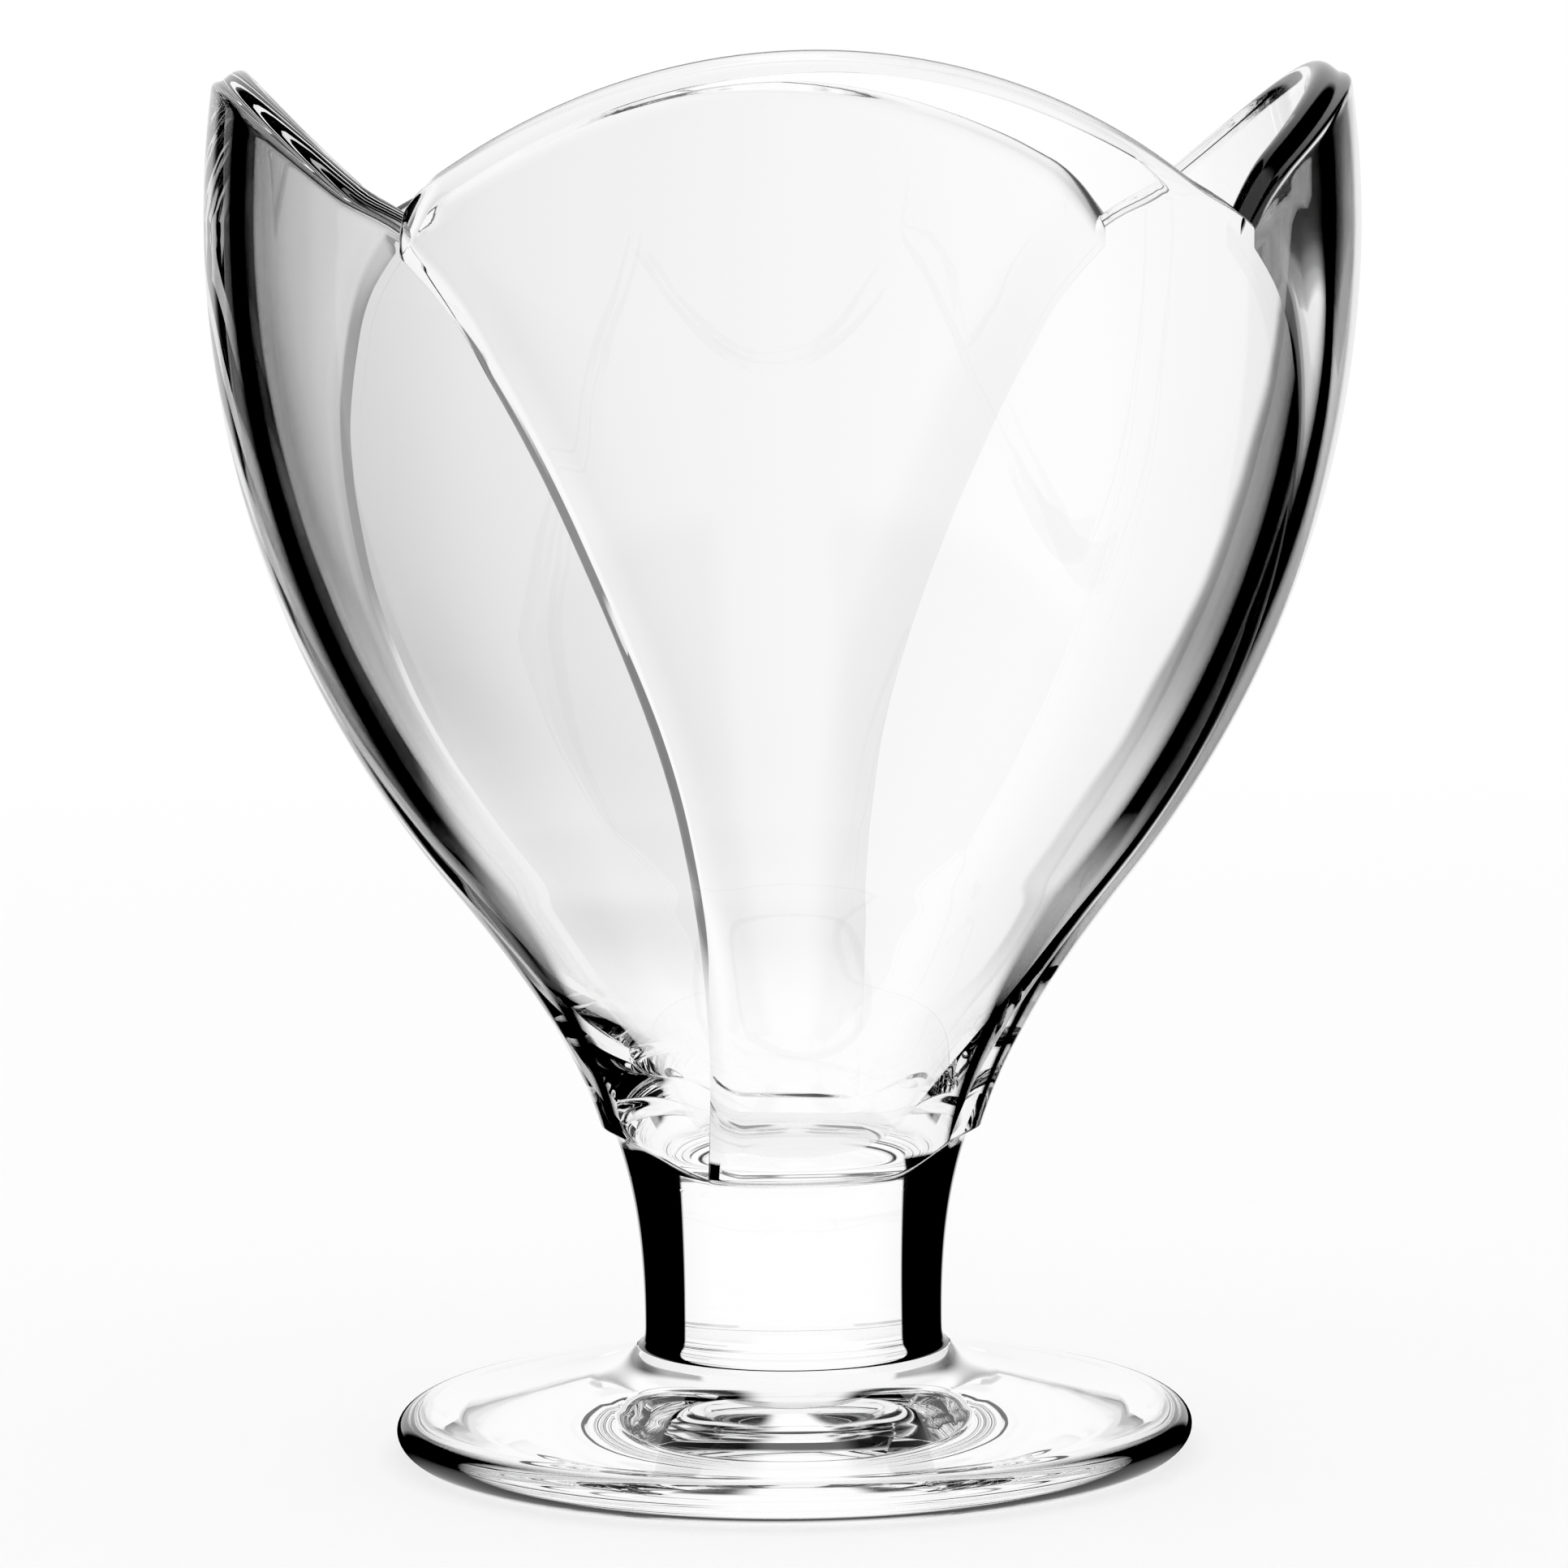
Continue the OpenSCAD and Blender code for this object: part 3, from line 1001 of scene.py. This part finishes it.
class DISH_OT_stage(bpy.types.Operator):
    """Set up the pale floor, the soft light and the camera"""

    bl_idname = "dish.stage"
    bl_label = "Stage"

    def execute(self, context):
        scene = context.scene
        scene.view_settings.view_transform = "Standard"
        cycles = scene.cycles
        cycles.max_bounces = cycles.transmission_bounces = 32
        cycles.glossy_bounces = 16
        cycles.diffuse_bounces = 3
        cycles.transparent_max_bounces = 64
        cycles.caustics_refractive = cycles.caustics_reflective = True
        cycles.blur_glossy = 0.0
        make_camera(scene)
        make_floor(scene)
        make_world(scene)
        return {"FINISHED"}


# -------- stage


def radians(*degrees):
    """Angles given in degrees."""
    return tuple(math.radians(each) for each in degrees)


# Focal length in millimetres, distance from the dish's axis and height above the table
LENS = 136.8
CAMERA_DISTANCE, CAMERA_HEIGHT = 0.533, 0.1104
CAMERA_AZIMUTH, CAMERA_PITCH, CAMERA_ROLL = radians(-3.1, 5.36, -0.6)
# The dish stands 4.75 pixels beside the photograph's middle, at a focal length of 7340 pixels
CAMERA_YAW = math.atan(4.75 / 7340)

# The floor's outline, its own white, and how much of its light is a glow
FLOOR_SIDES, FLOOR_R, FLOOR_WHITE, FLOOR_GLOW = 96, 6.0, 0.97, 0.5
# Distances from the dish over which the floor turns into the backdrop, and over which dark and shade begin
FLOOR_FADE, FLOOR_DARK, FLOOR_SHADE = (0.35, 1.1), (0.1, 0.16), (0.1, 0.55)
# Upward shares of a direction over which the dark ends and a dark roof begins, and sideways shares of that roof
DARK_ENDS, ROOF, ROOF_SIDES = (0.12, 0.25), (0.5, 0.6), (0.15, 0.3)

# The white panels stand a little round from the dish's own sides
PANEL_TURN = math.radians(2.25)
# Light that went straight through, by the angle from the middle of the nearest panel: shaded to its left in two
# steps and past its right end, and white again half way to the next panel
LEFT, LEFT_LIT = radians(-20.0, 8.0), 0.5
FAR_LEFT, FAR_LEFT_LIT = radians(16.0, 26.0), 0.5
RIGHT_END, RIGHT_END_LIT = radians(14.6, 15.9), 0.2
HALF_WAY = radians(39.0, 42.0)
# Light that was turned inside the glass: first grey beside a panel, then dark, and the grey's share of white
GREY_SIDE, DARK_SIDE, GREY_LIT = radians(15.0, 16.5), radians(22.0, 28.0), 0.42
# Light that the outer face mirrors: dark from the panel's side round to here, and then white
FRONT_SIDE, MIRRORED = radians(95.0, 125.0), 0.9
# Light turned more often than this sees no dark, until after many turns it is lost in the glass
DARK_TURNS, LOST_TURNS, LOST = 3.5, (9.0, 16.0), 0.9


def make_camera(scene):
    """A camera at the photograph's angle."""
    data = bpy.data.cameras.new("camera")
    data.lens = LENS
    data.clip_start = 0.01
    data.clip_end = 50.0
    camera = bpy.data.objects.new("camera", data)
    scene.collection.objects.link(camera)
    out = CAMERA_DISTANCE
    camera.location = (out * math.sin(CAMERA_AZIMUTH), -out * math.cos(CAMERA_AZIMUTH), CAMERA_HEIGHT)
    aimed = Matrix.Rotation(CAMERA_AZIMUTH + CAMERA_YAW, 4, "Z")
    tilted = Matrix.Rotation(QUARTER - CAMERA_PITCH, 4, "X")
    camera.rotation_euler = (aimed @ tilted @ Matrix.Rotation(CAMERA_ROLL, 4, "Z")).to_euler()
    scene.camera = camera


def panel_light(tree, x, y, away, far=1.0, roof=0.0):
    """How bright a direction is, which differs from white only for light that has been in the glass.

    White panels stand on four sides of the dish. away and far are how much of the dark and the shade beside
    them shows, and roof is dark of its own. Light Path counts in whole numbers, so halves part them."""
    light = tree.add("ShaderNodeLightPath").outputs
    reflected, passed = tree.sum(light["Glossy Depth"]), tree.sum(light["Transmission Depth"])
    turned, deep = reflected.above(0.5), passed.above(2.5)
    once = turned * (1 - reflected.above(1.5))
    outside, behind, through = once * (1 - passed.above(0.5)), once * deep, deep * (1 - turned)
    # Angles from the middle of the nearest panel, and from the one ahead
    across = x * math.cos(PANEL_TURN) - y * math.sin(PANEL_TURN)
    ahead = x * math.sin(PANEL_TURN) + y * math.cos(PANEL_TURN)
    offset = across.angle(ahead).wrapped(-QUARTER / 2, QUARTER / 2)
    beside, round_by = abs(offset), abs(across).angle(ahead)
    lit = 1 - (1 - offset.rise(*LEFT)) * (1 - LEFT_LIT)
    lit = lit * (1 - (0 - offset).rise(*FAR_LEFT) * (1 - FAR_LEFT_LIT))
    lit = lit * (1 - offset.rise(*RIGHT_END) * (1 - RIGHT_END_LIT))
    shade = (1 - lit) * (1 - beside.rise(*HALF_WAY)) * far
    mirrored = (1 - round_by.rise(*DARK_SIDE) + round_by.rise(*FRONT_SIDE)) * MIRRORED
    dark = beside.rise(*GREY_SIDE) * (1 - GREY_LIT) + beside.rise(*DARK_SIDE) * GREY_LIT
    dark = dark * away * ahead.above(0.0) * (1 - reflected.above(DARK_TURNS))
    dark = dark.least(roof).least(reflected.rise(*LOST_TURNS) * LOST)
    seen = 1 - through * shade - outside * (1 - mirrored) - behind * (1 - MIRRORED)
    return seen - turned * (1 - outside) * (1 - behind) * dark


def make_floor(scene):
    """A wide pale floor that keeps the dish's shadow and turns into the backdrop."""
    mesh = bpy.data.meshes.new("floor")
    corners = np.linspace(0, 2 * math.pi, FLOOR_SIDES + 1)[:-1]
    ring = [(FLOOR_R * math.sin(a), FLOOR_R * math.cos(a), 0.0) for a in corners]
    mesh.from_pydata(ring, [], [list(range(FLOOR_SIDES))[::-1]])
    floor = bpy.data.objects.new("floor", mesh)
    scene.collection.objects.link(floor)
    made, tree = material("pale_floor")
    mesh.materials.append(made)
    x, y, _ = tree.parts(tree.add("ShaderNodeTexCoord").outputs["Object"])
    distance = (x * x + y * y).root()
    seen = panel_light(tree, x, y, distance.rise(*FLOOR_DARK), distance.rise(*FLOOR_SHADE))
    light = tree.add("ShaderNodeLightPath").outputs
    card = tree.add("ShaderNodeBsdfDiffuse", None, Color=grey(FLOOR_WHITE))
    glow = tree.add("ShaderNodeEmission", None, Color=tree.mix(seen, grey(0.0), grey(1.0)))
    in_glass = (tree.sum(light["Is Transmission Ray"]) + tree.sum(light["Is Glossy Ray"])).most(1.0)
    factor = (FLOOR_GLOW + distance.rise(*FLOOR_FADE) + in_glass * (1 - FLOOR_GLOW)).most(1.0)
    both = tree.add("ShaderNodeMixShader", None, factor, card.outputs[0], glow.outputs[0])
    tree.add("ShaderNodeOutputMaterial", None, both.outputs[0])
    if mesh.polygons[0].normal.z < 0:
        mesh.flip_normals()


def make_world(scene):
    """A white backdrop and soft light, with the darker surround that draws the edges of the glass."""
    world = bpy.data.worlds.new("studio")
    scene.world = world
    world.use_nodes = True
    tree = Tree(world.node_tree)
    x, y, z = tree.parts(tree.add("ShaderNodeTexCoord").outputs["Generated"])
    roof = z.rise(*ROOF) * abs(x).rise(*ROOF_SIDES)
    seen = panel_light(tree, x, y, 1 - z.rise(*DARK_ENDS), roof=roof)
    shown = tree.add("ShaderNodeBackground", None, Color=tree.mix(seen, grey(0.0), grey(1.0)), Strength=1.0)
    tree.add("ShaderNodeOutputWorld", None, shown.outputs[0])


class DISH_PT_panel(bpy.types.Panel):
    """Lists the dish's pieces and sizes"""

    bl_idname = "DISH_PT_panel"
    bl_label = "Footed sundae dish"
    bl_space_type = "VIEW_3D"
    bl_region_type = "UI"
    bl_category = "Dish"

    def draw(self, context):
        for operator in OPERATORS:
            self.layout.operator(operator.bl_idname)
        for group in (context.scene.dish_sizes, context.scene.dish_looks):
            for name in group.bl_rna.properties.keys():
                if name not in {"rna_type", "name"}:
                    self.layout.prop(group, name)


OPERATORS = (DISH_OT_foot, DISH_OT_stem, DISH_OT_bowl_floor, DISH_OT_petals, DISH_OT_stage)
CLASSES = (DishSizes, DishLooks, *OPERATORS, DISH_PT_panel)


def register():
    for each in CLASSES:
        bpy.utils.register_class(each)
    bpy.types.Scene.dish_sizes = PointerProperty(type=DishSizes)
    bpy.types.Scene.dish_looks = PointerProperty(type=DishLooks)


def unregister():
    del bpy.types.Scene.dish_looks
    del bpy.types.Scene.dish_sizes
    for each in reversed(CLASSES):
        bpy.utils.unregister_class(each)


def main():
    register()
    for operator in ("foot", "stem", "bowl_floor", "petals", "stage"):
        getattr(bpy.ops.dish, operator)()


if __name__ == "__main__":
    main()
